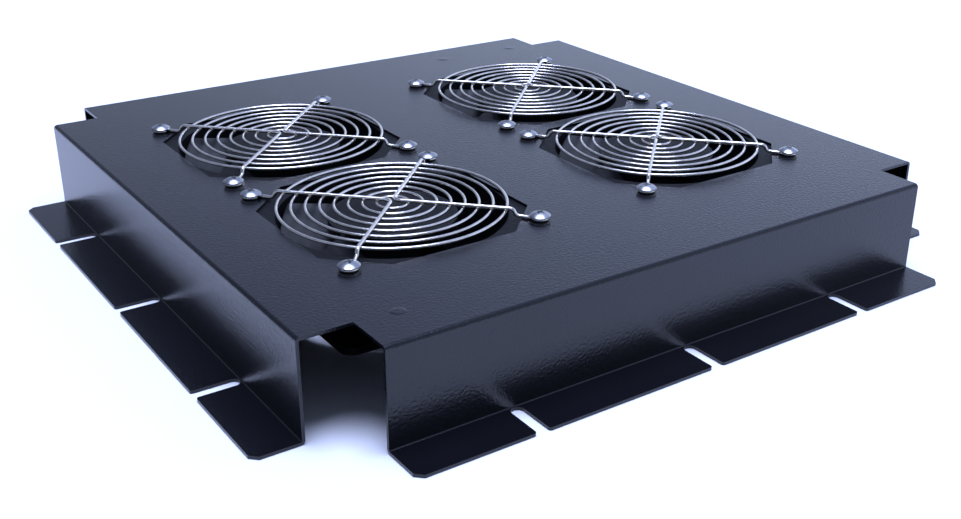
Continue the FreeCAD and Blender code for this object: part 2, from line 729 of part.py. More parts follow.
def step_down(sketch, start, step, end, low):
    """Route of a spoke: level, down to the plate through two equal bends, and level again."""
    drop = spoke_level - low
    run = math.sqrt(4 * drop.value * d.jog_bend.value - drop.value**2)
    begin = Vector(number(start), spoke_level.value, 0)
    upper = Vector(number(step), spoke_level.value, 0)
    lower = upper + Vector(run, -drop.value, 0)
    finish = Vector(number(end), low.value, 0)
    half = (upper + lower) * 0.5
    upper_centre = upper - Vector(0, d.jog_bend.value, 0)
    lower_centre = lower + Vector(0, d.jog_bend.value, 0)
    level_in = add_line(sketch, begin, upper)
    upper_arc, upper_first, upper_last = add_arc(sketch, upper_centre, upper, half)
    lower_arc, lower_first, lower_last = add_arc(sketch, lower_centre, half, lower)
    level_out = add_line(sketch, lower, finish)
    sketch.addConstraint(Sketcher.Constraint("Horizontal", level_in))
    sketch.addConstraint(Sketcher.Constraint("Horizontal", level_out))
    sketch.addConstraint(Sketcher.Constraint("Tangent", level_in, 2, upper_arc, upper_first))
    sketch.addConstraint(Sketcher.Constraint("Tangent", upper_arc, upper_last, lower_arc, lower_first))
    sketch.addConstraint(Sketcher.Constraint("Tangent", lower_arc, lower_last, level_out, 1))
    place(sketch, level_in, 1, start, spoke_level)
    place(sketch, level_in, 2, x=step)
    place(sketch, level_out, 2, end, low)
    set_radius(sketch, upper_arc, d.jog_bend)
    set_radius(sketch, lower_arc, d.jog_bend)


# ---------------------------------------------------------------- fasteners


def make_guard_screws(name, x, y):
    """Four domed M4 screws through the eyes, the plate and the upper frame flange."""
    body = new_body(f"guard_screws_{name}", x, y, d.tray_height, 45.0)
    seat = eye_side
    zero = Size(0, "0")
    shank = new_sketch(body, "shank", lift=seat)
    circle(shank, screw_circle, 0, d.screw_radius)
    rod = pad(body, shank, d.screw_length, downwards=True)
    head = new_sketch(body, "head", "XZ_Plane")
    dome_outline(head, screw_circle, seat)
    upright_line(head, screw_circle, zero, seat)
    dome = revolve(body, head, "Axis0")
    repeat_round(body, [rod, dome], 4)
    return body


def dome_outline(sketch, centre, seat):
    """Half section of a domed screw head: flat seat, thin rim, low arc over the top."""
    edge = centre + d.head_radius
    rim = seat + d.head_rim
    top = seat + d.head_height
    rise = top.value - rim.value
    radius = (d.head_radius.value**2 + rise**2) / (2 * rise)
    peak = Vector(centre.value, top.value, 0)
    heel = Vector(centre.value, seat.value, 0)
    toe = Vector(edge.value, seat.value, 0)
    brim = Vector(edge.value, rim.value, 0)
    axis = add_line(sketch, peak, heel)
    base = add_line(sketch, heel, toe)
    side = add_line(sketch, toe, brim)
    arc, first, last = add_arc(sketch, peak - Vector(0, radius, 0), brim, peak)
    sketch.addConstraint(Sketcher.Constraint("Coincident", axis, 2, base, 1))
    sketch.addConstraint(Sketcher.Constraint("Coincident", base, 2, side, 1))
    sketch.addConstraint(Sketcher.Constraint("Coincident", side, 2, arc, first))
    sketch.addConstraint(Sketcher.Constraint("Coincident", arc, last, axis, 1))
    place(sketch, axis, 1, centre, top)
    place(sketch, base, 1, centre, seat)
    place(sketch, side, 1, edge, seat)
    place(sketch, side, 2, edge, rim)
    place(sketch, arc, 3, x=centre)


def make_guard_nuts(name, x, y):
    """Four M4 nuts under the upper frame flange."""
    body = new_body(f"guard_nuts_{name}", x, y, under_plate, 45.0)
    nut = new_sketch(body, "nut", lift=-d.frame_flange)
    regular_outline(nut, screw_circle, Size(0, "0"), d.nut_flats)
    circle(nut, screw_circle, 0, d.screw_radius)
    one = pad(body, nut, d.nut_height, downwards=True)
    repeat_round(body, [one], 4)
    return body


def stud_groups():
    """Weld studs under the plate, as the middle of each group and the studs beside that middle.

    One earth stud stands in the front left corner, and two studs carry the terminal block at the back.
    """
    x = wall_face - d.stud_side
    y = wall_face - d.stud_inset
    return {
        "earth": (-x, -y, [Size(0, "0")]),
        "block": (x - d.block_pitch / 2, y, [-(d.block_pitch / 2), d.block_pitch / 2]),
    }


def make_studs(name, x, y, spots):
    body = new_body(name, x, y, under_plate)
    rods = new_sketch(body, "rods")
    for spot in spots:
        circle(rods, spot, 0, d.stud_radius)
    pad(body, rods, d.stud_length, downwards=True)
    return body


def make_washers(name, x, y, spots, below):
    body = new_body(name, x, y, under_plate - below)
    rings = new_sketch(body, "rings")
    for spot in spots:
        circle(rings, spot, 0, d.washer_radius)
        circle(rings, spot, 0, d.stud_radius)
    pad(body, rings, d.washer_thickness, downwards=True)
    return body


def make_stud_nuts(name, x, y, spots, below):
    body = new_body(name, x, y, under_plate - below)
    nuts = new_sketch(body, "nuts")
    for spot in spots:
        regular_outline(nuts, spot, Size(0, "0"), d.stud_nut_flats)
        circle(nuts, spot, 0, d.stud_radius)
    pad(body, nuts, d.stud_nut_height, downwards=True)
    return body


def make_terminal_block(name, x, y, spots):
    """Three-way block on a foot that reaches under both of its studs."""
    body = new_body(name, x, y, under_plate)
    zero = Size(0, "0")
    foot = new_sketch(body, "foot")
    box_outline(foot, zero, zero, d.block_pitch + d.block_end * 2, d.block_width, d.tab_corner)
    for spot in spots:
        circle(foot, spot, 0, d.stud_radius)
    pad(body, foot, d.block_foot, downwards=True)
    housing = new_sketch(body, "housing")
    length = d.block_pitch - (d.washer_radius + d.block_clear) * 2
    box_outline(housing, zero, zero, length, d.block_width)
    pad(body, housing, d.block_height, downwards=True)
    entries = new_sketch(body, "entries", lift=-d.block_height)
    way = (length - d.way_wall * (d.block_ways + 1)) / d.block_ways
    for way_number in range(d.block_ways.value):
        across = d.way_wall + way / 2 - length / 2 + (way + d.way_wall) * way_number
        box_outline(entries, across, zero, way, d.block_width - d.way_wall * 2)
    pocket(body, entries, d.way_depth, upwards=True)
    return body


# ---------------------------------------------------------------- whole assembly


def make_all():
    parts = [make_tray()]
    for name, (side, row, turn) in FANS.items():
        x = fan_pitch_x / 2 * side
        y = fan_pitch_y / 2 * row
        parts += [
            make_frame(name, x, y),
            make_terminals(name, x, y),
            make_impeller(name, x, y, turn),
            make_cage(name, x, y, turn),
            make_shaft(name, x, y, turn),
            make_bearing(name, x, y),
            make_stator(name, x, y),
            make_windings(name, x, y),
            make_guard(name, x, y),
            make_guard_screws(name, x, y),
            make_guard_nuts(name, x, y),
        ]
    earth = stud_groups()["earth"]
    block = stud_groups()["block"]
    parts += [
        make_studs("earth_stud", *earth),
        make_washers("earth_washer", *earth, Size(0, "0")),
        make_stud_nuts("earth_nut", *earth, d.washer_thickness),
        make_studs("terminal_block_studs", *block),
        make_terminal_block("terminal_block", *block),
        make_washers("terminal_block_washers", *block, d.block_foot),
        make_stud_nuts("terminal_block_nuts", *block, d.block_foot + d.washer_thickness),
    ]
    return parts


def check_and_export(parts):
    """Refuse a failed or empty shape, then write one STEP file for each sub-part."""
    doc.recompute()
    for thing in doc.Objects:
        if "Invalid" in thing.State or "Error" in thing.State:
            raise RuntimeError(f"{thing.Name} failed: {thing.State}")
    for part in parts:
        if part.Shape.isNull() or not part.Shape.isValid() or not part.Shape.Solids:
            raise RuntimeError(f"{part.Label} has no valid solid")
    os.makedirs("parts", exist_ok=True)
    for part in parts:
        part.Shape.exportStep(f"parts/{part.Label}.step")
        print(f"{part.Label}: {len(part.Shape.Solids)} solid(s), {part.Shape.Volume:.1f} mm3")


check_and_export(make_all())
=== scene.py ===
# %% [markdown]
# # A roof fan tray for a server cabinet
#
# A folded steel pan sits in the roof opening of a cabinet and carries four mains fans. Under each
# octagonal cut-out hangs one fan, and over it lies a finger guard of bright wire, held by four
# domed screws. The construction model already holds every solid piece at its real size. This file
# gives those pieces their finishes and adds what a construction model leaves out: round wire,
# cross recesses, screw threads, copper windings and the marks of welded studs.
#
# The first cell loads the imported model. Its nodes stay where they are, and everything below is
# worked out from their boxes.

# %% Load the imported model
import math

import bmesh
import bpy
from mathutils import Matrix, Vector


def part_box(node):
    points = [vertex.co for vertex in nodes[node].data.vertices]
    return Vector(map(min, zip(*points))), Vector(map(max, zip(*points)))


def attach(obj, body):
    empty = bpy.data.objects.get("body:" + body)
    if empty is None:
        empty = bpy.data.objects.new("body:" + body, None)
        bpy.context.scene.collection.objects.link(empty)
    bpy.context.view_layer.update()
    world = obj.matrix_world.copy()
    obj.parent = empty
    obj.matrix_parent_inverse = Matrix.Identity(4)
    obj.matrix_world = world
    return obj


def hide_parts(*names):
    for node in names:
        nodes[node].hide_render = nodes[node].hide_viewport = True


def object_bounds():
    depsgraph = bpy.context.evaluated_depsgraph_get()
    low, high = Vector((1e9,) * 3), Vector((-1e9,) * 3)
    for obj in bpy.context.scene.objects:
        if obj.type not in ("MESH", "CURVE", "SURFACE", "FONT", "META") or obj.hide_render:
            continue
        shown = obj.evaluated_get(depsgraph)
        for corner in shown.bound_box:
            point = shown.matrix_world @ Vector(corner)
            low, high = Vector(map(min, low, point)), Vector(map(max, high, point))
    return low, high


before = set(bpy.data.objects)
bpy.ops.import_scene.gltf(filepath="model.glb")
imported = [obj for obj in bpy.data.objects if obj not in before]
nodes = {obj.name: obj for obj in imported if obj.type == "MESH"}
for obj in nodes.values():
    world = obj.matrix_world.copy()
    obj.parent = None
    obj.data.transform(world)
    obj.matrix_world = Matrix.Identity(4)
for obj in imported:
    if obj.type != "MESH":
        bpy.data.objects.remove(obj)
cad_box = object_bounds()
FANS = ("front_left", "front_right", "back_left", "back_right")
print("box, mm:", [[round(v * 1000, 1) for v in corner] for corner in cad_box])

# %% [markdown]
# ## Units and places
#
# Blender works in metres and a drawing of this tray is in millimetres, so one constant turns one
# into the other. The places that many pieces share are read from the boxes of the nodes: the top
# of the plate from the pan, and the centre of each fan from its frame.

# %% Units and shared places
MM = 0.001


def corners_of(node):
    """Lowest and highest corner of a node, as vectors."""
    low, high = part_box(node)
    return Vector(low), Vector(high)


def fan_centre(name):
    """The middle of one fan's frame."""
    low, high = corners_of(f"fan_frame_{name}")
    return (low + high) / 2


PLATE_TOP = corners_of("tray_pan")[1].z
FAN_CENTRES = {name: fan_centre(name) for name in FANS}
print("plate top at", round(PLATE_TOP / MM, 2), "mm")
print({name: [round(v / MM, 1) for v in spot] for name, spot in FAN_CENTRES.items()})

# %% [markdown]
# ## Colours
#
# Colours are written as the hex values that a paint chart gives. Those are display (sRGB) values,
# and a shader wants linear light, so one function turns one into the other.


# %% Hex colour to linear light
def linear(hex_colour):
    """'#rrggbb' to a linear RGBA tuple."""
    channels = [int(hex_colour[i:i + 2], 16) / 255 for i in (1, 3, 5)]
    light = [c / 12.92 if c <= 0.04045 else ((c + 0.055) / 1.055) ** 2.4 for c in channels]
    return (*light, 1.0)


print("black powder coat is", [round(c, 4) for c in linear("#0a0b0f")])

# %% [markdown]
# ## Building node materials
#
# Every finish below is a small network of shader nodes. Two helpers keep them short. The first
# makes an empty material that holds only an output and a Principled shader. The second adds any
# node, sets its properties, and fills its inputs: a value that is another node's output becomes a
# link, and anything else is a plain setting. A colour ramp also gets its list of stops. Noise has
# no size of its own: a scale of one over a length makes spots about as wide as that length, so
# every pattern below states its real size in millimetres.


# %% Material helpers
def new_material(name, **shader_inputs):
    """An empty node material with a Principled shader; returns (material, tree, shader)."""
    material = bpy.data.materials.new(name)
    material.use_nodes = True
    tree = material.node_tree
    shader = tree.nodes["Principled BSDF"]
    for label, value in shader_inputs.items():
        shader.inputs[label.replace("_", " ")].default_value = value
    return material, tree, shader


def add_node(tree, kind, settings=None, inputs=None, stops=()):
    """Add a node; inputs maps a socket's name or number to a value or to another node's output.

    stops are the (position, colour) pairs of a colour ramp, in order.
    """
    node = tree.nodes.new(kind)
    for key, value in (settings or {}).items():
        setattr(node, key, value)
    for key, value in (inputs or {}).items():
        if isinstance(value, bpy.types.NodeSocket):
            tree.links.new(value, node.inputs[key])
        else:
            node.inputs[key].default_value = value
    if stops:
        elements = node.color_ramp.elements
        elements[0].position, elements[0].color = stops[0]
        elements[1].position, elements[1].color = stops[-1]
        for position, colour in stops[1:-1]:
            elements.new(position).color = colour
    return node


print("material helpers ready")

# %% [markdown]
# ## Black powder coat
#
# The pan is sprayed with dry polyester powder and baked. The powder flows together into a fine
# orange peel: soft bumps one or two millimetres across, glossy on their tops. That is why the
# plate looks grey where it mirrors a bright room at a low angle and almost black where it
# doesn't. The peel could be real relief in the mesh, but it is far too fine for that, so bump
# nodes tilt the shading instead, in two sizes: the peel itself, and a finer grain that breaks up
# the edge of each highlight. Real peel is only a few hundredths of a millimetre deep. It is drawn
# deeper, because otherwise it wouldn't show from a metre away.


# %% Powder coat
TONE_SIZE = 60 * MM


def powder_coat(name, colour, peel_size, peel_depth, roughness):
    """Baked polyester powder: orange peel over a faint, broad change of tone."""
    material, tree, shader = new_material(name, Metallic=0.0, IOR=1.46)
    place = add_node(tree, "ShaderNodeTexCoord").outputs["Object"]
    cloud = add_node(tree, "ShaderNodeTexNoise", inputs={
        "Vector": place, "Scale": 1 / TONE_SIZE, "Detail": 2.0})
    darker = linear(colour)
    lighter = tuple(min(1.0, c * 1.35) for c in darker[:3]) + (1.0,)
    tones = add_node(tree, "ShaderNodeValToRGB", inputs={"Fac": cloud.outputs["Fac"]},
                     stops=[(0.3, darker), (0.75, lighter)])
    tree.links.new(tones.outputs["Color"], shader.inputs["Base Color"])
    peel = add_node(tree, "ShaderNodeTexNoise", inputs={
        "Vector": place, "Scale": 1 / peel_size, "Detail": 2.0})
    fine = add_node(tree, "ShaderNodeTexNoise", inputs={
        "Vector": place, "Scale": 1 / (peel_size / 4), "Detail": 1.0})
    gloss = add_node(tree, "ShaderNodeMapRange", inputs={
        "Value": fine.outputs["Fac"], "To Min": roughness - 0.05, "To Max": roughness + 0.08})
    tree.links.new(gloss.outputs["Result"], shader.inputs["Roughness"])
    peel_relief = add_node(tree, "ShaderNodeBump", inputs={
        "Height": peel.outputs["Fac"], "Strength": 1.0, "Distance": peel_depth})
    relief = add_node(tree, "ShaderNodeBump", inputs={
        "Height": fine.outputs["Fac"], "Strength": 0.6, "Distance": peel_depth / 4,
        "Normal": peel_relief.outputs["Normal"]})
    tree.links.new(relief.outputs["Normal"], shader.inputs["Normal"])
    return material


pan_coat = powder_coat("black_powder_coat", "#0a0b0f", 1.5 * MM, 0.15 * MM, 0.2)
print("made", pan_coat.name)

# %% [markdown]
# ## Painted die-cast aluminium
#
# Fan frames of this kind are die-cast and then painted black. The paint is thinner and more even
# than powder, so it shows the cast skin below it: a faint, irregular grain, with patches where
# the paint is worn a little lighter. Wear could be put on the edges with the pointiness output,
# but that finds edges only on dense meshes, so it is left to broad noise.


# %% Cast and painted
SKIN_SIZE = 3 * MM
SKIN_DEPTH = 0.08 * MM
PATCH_SIZE = 18 * MM


def painted_casting(name, colour, worn_colour):
    """Matt paint over a cast skin, worn a little lighter in patches."""
    material, tree, shader = new_material(name, Metallic=0.0, IOR=1.28)
    place = add_node(tree, "ShaderNodeTexCoord").outputs["Object"]
    patches = add_node(tree, "ShaderNodeTexNoise", inputs={
        "Vector": place, "Scale": 1 / PATCH_SIZE, "Detail": 3.0})
    tones = add_node(tree, "ShaderNodeValToRGB", inputs={"Fac": patches.outputs["Fac"]},
                     stops=[(0.35, linear(colour)), (0.8, linear(worn_colour))])
    tree.links.new(tones.outputs["Color"], shader.inputs["Base Color"])
    skin = add_node(tree, "ShaderNodeTexNoise", inputs={
        "Vector": place, "Scale": 1 / SKIN_SIZE, "Detail": 4.0})
    gloss = add_node(tree, "ShaderNodeMapRange", inputs={
        "Value": skin.outputs["Fac"], "To Min": 0.5, "To Max": 0.68})
    tree.links.new(gloss.outputs["Result"], shader.inputs["Roughness"])
    relief = add_node(tree, "ShaderNodeBump", inputs={
        "Height": skin.outputs["Fac"], "Strength": 0.5, "Distance": SKIN_DEPTH})
    tree.links.new(relief.outputs["Normal"], shader.inputs["Normal"])
    return material


frame_paint = painted_casting("black_paint_on_die_cast_aluminium", "#08090b", "#0e0f12")
print("made", frame_paint.name)

# %% [markdown]
# ## Moulded plastic
#
# The impeller is injection moulded from a glass-filled plastic, and so is the terminal block. A
# mould leaves a fine, even, matt grain, and the glass fibre makes faint flow streaks. The streaks
# could be painted by hand. Noise stretched along one direction gives the same look on any shape.
# The grain of the mould is finer than half a millimetre, and is drawn that coarse so that it shows.

# %% Moulded plastic
STREAK_SIZE = 7 * MM
STREAK_STRETCH = (1.0, 1.0, 0.2)
MOULD_SIZE = 0.5 * MM
MOULD_DEPTH = 0.03 * MM


def moulded_plastic(name, colour, streak_colour, roughness):
    """Plastic with a fine mould grain and flow streaks."""
    material, tree, shader = new_material(name, Metallic=0.0, IOR=1.3)
    place = add_node(tree, "ShaderNodeTexCoord").outputs["Object"]
    stretched = add_node(tree, "ShaderNodeMapping", inputs={
        "Vector": place, "Scale": STREAK_STRETCH})
    streaks = add_node(tree, "ShaderNodeTexNoise", inputs={
        "Vector": stretched.outputs["Vector"], "Scale": 1 / STREAK_SIZE, "Detail": 3.0})
    tones = add_node(tree, "ShaderNodeValToRGB", inputs={"Fac": streaks.outputs["Fac"]},
                     stops=[(0.35, linear(colour)), (0.75, linear(streak_colour))])
    tree.links.new(tones.outputs["Color"], shader.inputs["Base Color"])
    mould = add_node(tree, "ShaderNodeTexNoise", inputs={
        "Vector": place, "Scale": 1 / MOULD_SIZE, "Detail": 1.0})
    gloss = add_node(tree, "ShaderNodeMapRange", inputs={
        "Value": mould.outputs["Fac"], "To Min": roughness - 0.04, "To Max": roughness + 0.06})
    tree.links.new(gloss.outputs["Result"], shader.inputs["Roughness"])
    relief = add_node(tree, "ShaderNodeBump", inputs={
        "Height": mould.outputs["Fac"], "Strength": 0.4, "Distance": MOULD_DEPTH})
    tree.links.new(relief.outputs["Normal"], shader.inputs["Normal"])
    return material


impeller_plastic = moulded_plastic("glass_filled_black_plastic", "#08090b", "#0d0e11", 0.46)
block_plastic = moulded_plastic("ivory_polyamide", "#c9c5b8", "#d3d0c4", 0.42)
print("made", impeller_plastic.name, "and", block_plastic.name)

# %% [markdown]
# ## Bright metals
#
# The guard is steel wire, bent, spot-welded and then plated with nickel and chrome, so it mirrors
# the room, a little blurred by the drawing marks of the wire. Screws and nuts are zinc plated,
# softer, greyer and bluer. Both are metals: the base colour is the colour of the reflection,
# metallic is 1, and roughness decides how sharp the mirror is. Highlights could be painted on, but
# they would stay where they are when the view moves, so these metals mirror the studio itself. A
# cloudy noise on the roughness keeps the plating from looking like a computer's perfect chrome.
# Real scratches are thinner than a hair, and are drawn as coarse as they need to show.

# %% Plated and bare metals
SCRATCHES_IN_CLOUD = 12


def metal(name, colour, stain, rough_low, rough_high, cloud_size, scratch_depth):
    """Metal that is cloudy over cloud_size and finely scratched."""
    material, tree, shader = new_material(name, Metallic=1.0)
    place = add_node(tree, "ShaderNodeTexCoord").outputs["Object"]
    cloud = add_node(tree, "ShaderNodeTexNoise", inputs={
        "Vector": place, "Scale": 1 / cloud_size, "Detail": 4.0, "Roughness": 0.6})
    tones = add_node(tree, "ShaderNodeValToRGB", inputs={"Fac": cloud.outputs["Fac"]},
                     stops=[(0.3, linear(stain)), (0.65, linear(colour))])
    tree.links.new(tones.outputs["Color"], shader.inputs["Base Color"])
    gloss = add_node(tree, "ShaderNodeMapRange", inputs={
        "Value": cloud.outputs["Fac"], "To Min": rough_high, "To Max": rough_low})
    tree.links.new(gloss.outputs["Result"], shader.inputs["Roughness"])
    scratches = add_node(tree, "ShaderNodeTexNoise", inputs={
        "Vector": place, "Scale": 1 / (cloud_size / SCRATCHES_IN_CLOUD), "Detail": 2.0})
    relief = add_node(tree, "ShaderNodeBump", inputs={
        "Height": scratches.outputs["Fac"], "Strength": 0.5, "Distance": scratch_depth})
    tree.links.new(relief.outputs["Normal"], shader.inputs["Normal"])
    return material


wire_chrome = metal("chrome_plated_wire", "#f0ebe2", "#cfcac1", 0.18, 0.30, 6 * MM, 0.01 * MM)
screw_zinc = metal("zinc_plated_steel", "#bdbfc2", "#85888d", 0.22, 0.40, 3 * MM, 0.015 * MM)
bronze = metal("sintered_bronze", "#b98a4e", "#7d5a30", 0.38, 0.55, 1.5 * MM, 0.02 * MM)
rotor_iron = metal("turned_rotor_iron", "#8d8f92", "#6c6e70", 0.32, 0.48, 4 * MM, 0.02 * MM)
terminal_tin = metal("tinned_brass", "#d8d5c6", "#b5ad90", 0.22, 0.38, 2 * MM, 0.01 * MM)
print("made five metals")

# %% [markdown]
# ## Stator steel and copper
#
# The stator stack is a pile of punched sheets half a millimetre thick. Bands along the stack's
# height show the sheets. Enamelled copper wire is wound round each pole, and its turns are bands
# too, half a millimetre apart, with a clear coat that gives a second highlight. Each sheet and
# each turn could be modelled, but they sit deep in the motor and would cost many faces. A wave
# node repeats every pi / (10 * scale), so its scale follows from the thickness of one band.


# %% Banded metals
BAND = 0.5 * MM


def banded_metal(name, light, dark, roughness, depth, coat=0.0):
    """Metal with level bands, one above the other."""
    material, tree, shader = new_material(
        name, Metallic=1.0, Roughness=roughness, Coat_Weight=coat)
    place = add_node(tree, "ShaderNodeTexCoord").outputs["Object"]
    bands = add_node(tree, "ShaderNodeTexWave", {"bands_direction": "Z"}, {
        "Vector": place, "Scale": math.pi / (10 * BAND), "Distortion": 0.2})
    tones = add_node(tree, "ShaderNodeValToRGB", inputs={"Fac": bands.outputs["Fac"]},
                     stops=[(0.1, linear(dark)), (0.7, linear(light))])
    tree.links.new(tones.outputs["Color"], shader.inputs["Base Color"])
    relief = add_node(tree, "ShaderNodeBump", inputs={
        "Height": bands.outputs["Fac"], "Strength": 0.8, "Distance": depth})
    tree.links.new(relief.outputs["Normal"], shader.inputs["Normal"])
    return material


lamination = banded_metal("silicon_steel_sheets", "#8f9296", "#54575a", 0.4, 0.05 * MM)
copper = banded_metal("enamelled_copper_wire", "#b4552a", "#5e2711", 0.3, 0.1 * MM, coat=0.6)
print("made", lamination.name, "and", copper.name)

# %% [markdown]
# ## Dressing the construction nodes
#
# A node whose shape is right keeps its mesh and only gets a finish. The names of the nodes say
# what they are, so a short list of name starts picks the finish for each one.

# %% Give every node its finish
FINISHES = [
    ("tray_pan", pan_coat),
    ("fan_frame", frame_paint),
    ("impeller", impeller_plastic),
    ("terminal_block_", screw_zinc),
    ("terminal_block", block_plastic),
    ("finger_guard", wire_chrome),
    ("guard_", screw_zinc),
    ("earth_", screw_zinc),
    ("rotor_shaft", screw_zinc),
    ("rotor_cage", rotor_iron),
    ("sleeve_bearing", bronze),
    ("stator_stack", lamination),
    ("windings", copper),
    ("spade_terminals", terminal_tin),
]


def finish_for(name):
    """The first finish in the list whose name start fits."""
    return next(finish for start, finish in FINISHES if name.startswith(start))


def dress(thing, finish):
    """Put one material on a mesh object."""
    thing.data.materials.clear()
    thing.data.materials.append(finish)


for node_name, node in nodes.items():
    dress(node, finish_for(node_name))
print("dressed", len(nodes), "nodes")

# %% [markdown]
# ## Meshes from profiles
#
# The new pieces are built as meshes. A first helper turns mesh data into a finished object that
# rides on a body. Its faces are shaded smooth, except over an edge that folds by more than a set
# angle.

# %% From mesh data to a finished piece
SHARP_FROM = math.radians(35)


def mesh_object(name, mesh_data, finish, body="tray"):
    """A finished, smooth-shaded piece that rides on a body."""
    mesh = bpy.data.meshes.new(name)
    mesh_data.normal_update()
    mesh_data.to_mesh(mesh)
    mesh_data.free()
    piece = bpy.data.objects.new(name, mesh)
    bpy.context.scene.collection.objects.link(piece)
    mesh.shade_smooth()
    mesh.set_sharp_from_angle(angle=SHARP_FROM)
    dress(piece, finish)
    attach(piece, body)
    return piece


print("edges are sharp from", round(math.degrees(SHARP_FROM)), "degrees")

# %% [markdown]
# Screw heads and weld marks are turned shapes, so the next helper spins a half profile round an
# upright axis. Where the profile meets the axis, one point stands for a whole ring.


# %% Turned shapes
def turn_profile(target, profile, centre, steps=48):
    """Add a closed solid of revolution; profile is (radius, height) from axis to axis."""
    rings = []
    for radius, height in profile:
        if radius == 0:
            rings.append([target.verts.new(centre + Vector((0, 0, height)))])
            continue
        angles = [2 * math.pi * k / steps for k in range(steps)]
        rings.append([target.verts.new(centre + Vector((
            radius * math.cos(a), radius * math.sin(a), height))) for a in angles])
    for lower, upper in zip(rings, rings[1:]):
        for k in range(steps):
            after = (k + 1) % steps
            loop = [lower[k % len(lower)], lower[after % len(lower)],
                    upper[after % len(upper)], upper[k % len(upper)]]
            face = list(dict.fromkeys(loop))
            if len(face) > 2:
                target.faces.new(face)


print("turned shapes ready")

# %% [markdown]
# A bent wire is a round section swept along a path. A curve object with a round bevel would do it
# too. Here the rings are placed one by one, each square to the path, so the wire is a plain mesh
# from the start. A closed path joins its last ring to its first.


# %% Tubes along a path
def tube(target, path, radius, closed=False, sides=12):
    """Add a round wire of the given radius along a path of points."""
    count = len(path)
    rings = []
    up = Vector((0, 0, 1))
    for k, spot in enumerate(path):
        before = path[k - 1] if closed or k > 0 else spot
        after = path[(k + 1) % count] if closed or k < count - 1 else spot
        ahead = (after - before).normalized()
        side = ahead.cross(up).normalized()
        over = side.cross(ahead)
        turns = [2 * math.pi * s / sides for s in range(sides)]
        around = [(side * math.cos(t) + over * math.sin(t)) * radius for t in turns]
        rings.append([target.verts.new(spot + away) for away in around])
    following = rings[1:] + rings[:1] if closed else rings[1:]
    for here, there in zip(rings, following):
        for s in range(sides):
            target.faces.new([here[s], here[(s + 1) % sides], there[(s + 1) % sides], there[s]])
    if not closed:
        target.faces.new(rings[0][::-1])
        target.faces.new(rings[-1])


print("tubes ready")

# %% [markdown]
# ## Round wire for the finger guards
#
# A guard is eight rings of 1.6 mm wire under two spoke wires of 2 mm. Each spoke wire is one
# piece: it comes in from one screw, turns through a right angle near the middle of the fan, and
# goes out to the next screw. Outside the last ring it steps down to the plate and ends in an eye
# round its screw. The path is made of straight runs and arcs, and the round section is swept
# along it. Where a spoke crosses a ring, the two are welded, so they sink into each other a little.

# %% Sizes of the guard
RING_COUNT = 8
RING_FIRST = 8 * MM
RING_PITCH = 7 * MM
RING_WIRE = 1.6 * MM
SPOKE_WIRE = 2.0 * MM
RING_LEVEL = PLATE_TOP + 3.12 * MM
WELD_SINK = 0.35 * MM
SPOKE_LEVEL = RING_LEVEL + (RING_WIRE + SPOKE_WIRE) / 2 - WELD_SINK
FOOT_LEVEL = PLATE_TOP + SPOKE_WIRE / 2
SCREW_CIRCLE = 104.8 * MM / math.sqrt(2)
MIDDLE_BEND = 4.6 * MM
STEP_START = RING_FIRST + RING_PITCH * (RING_COUNT - 1) + 2 * MM
STEP_BEND = 2.6 * MM
STEP_POINTS = 5
EYE_RADIUS = 3.7 * MM
EYE_TURN = 335
EYE_POINTS = 23
RUN_POINTS = 4
BEND_POINTS = 8
RING_POINTS = 96
print("spokes", round((SPOKE_LEVEL - PLATE_TOP) / MM, 2), "mm above the plate")

# %% [markdown]
# The path of a spoke wire is worked out in pieces, as it would be bent on a bench: the double bend
# down to the plate, then half a spoke from the middle to its eye, then two halves joined by the
# bend in the middle. Arcs join the straight runs, and only the eye starts with a sharp turn.


# %% Wire paths
def arc(centre, radius, start, end, steps):
    """Points on a level arc, angles in degrees."""
    angles = [math.radians(start + (end - start) * k / steps) for k in range(steps + 1)]
    return [centre + Vector((math.cos(a), math.sin(a), 0)) * radius for a in angles]


def step_down():
    """Distances outwards and heights of the double bend outside the last ring."""
    drop = SPOKE_LEVEL - FOOT_LEVEL
    run = math.sqrt(4 * drop * STEP_BEND - drop**2)
    lean = math.asin(run / 2 / STEP_BEND)
    turns = [lean * k / STEP_POINTS for k in range(STEP_POINTS + 1)]
    upper = [(STEP_START + STEP_BEND * math.sin(turn),
              SPOKE_LEVEL - STEP_BEND * (1 - math.cos(turn))) for turn in turns]
    lower = [(2 * STEP_START + run - x, SPOKE_LEVEL + FOOT_LEVEL - z)
             for x, z in reversed(upper[:-1])]
    return upper + lower


def half_spoke(direction, side):
    """From the end of the middle bend out to the screw and round it, seen from the fan's centre."""
    across = Vector((-direction.y, direction.x, 0)) * side
    level = Vector((0, 0, SPOKE_LEVEL))
    run = STEP_START - MIDDLE_BEND
    spots = [direction * (MIDDLE_BEND + run * k / RUN_POINTS) + level for k in range(RUN_POINTS)]
    spots += [direction * x + Vector((0, 0, z)) for x, z in step_down()]
    screw = direction * SCREW_CIRCLE + Vector((0, 0, FOOT_LEVEL))
    for k in range(1, EYE_POINTS + 1):
        turn = math.radians(180 - EYE_TURN * k / EYE_POINTS)
        spots.append(screw + direction * math.cos(turn) * EYE_RADIUS
                     + across * math.sin(turn) * EYE_RADIUS)
    return spots


def spoke_path(first, second):
    """One bent wire that serves two neighbouring screws; directions are level unit vectors."""
    centre = (first + second) * MIDDLE_BEND + Vector((0, 0, SPOKE_LEVEL))
    start = math.degrees(math.atan2(-second.y, -second.x))
    hand = 1 if first.cross(second).z < 0 else -1
    bend = arc(centre, MIDDLE_BEND, start, start + 90 * hand, BEND_POINTS)
    return half_spoke(first, hand)[::-1] + bend[1:-1] + half_spoke(second, -hand)


print("path points:", len(spoke_path(Vector((0.7071, 0.7071, 0)), Vector((0.7071, -0.7071, 0)))))

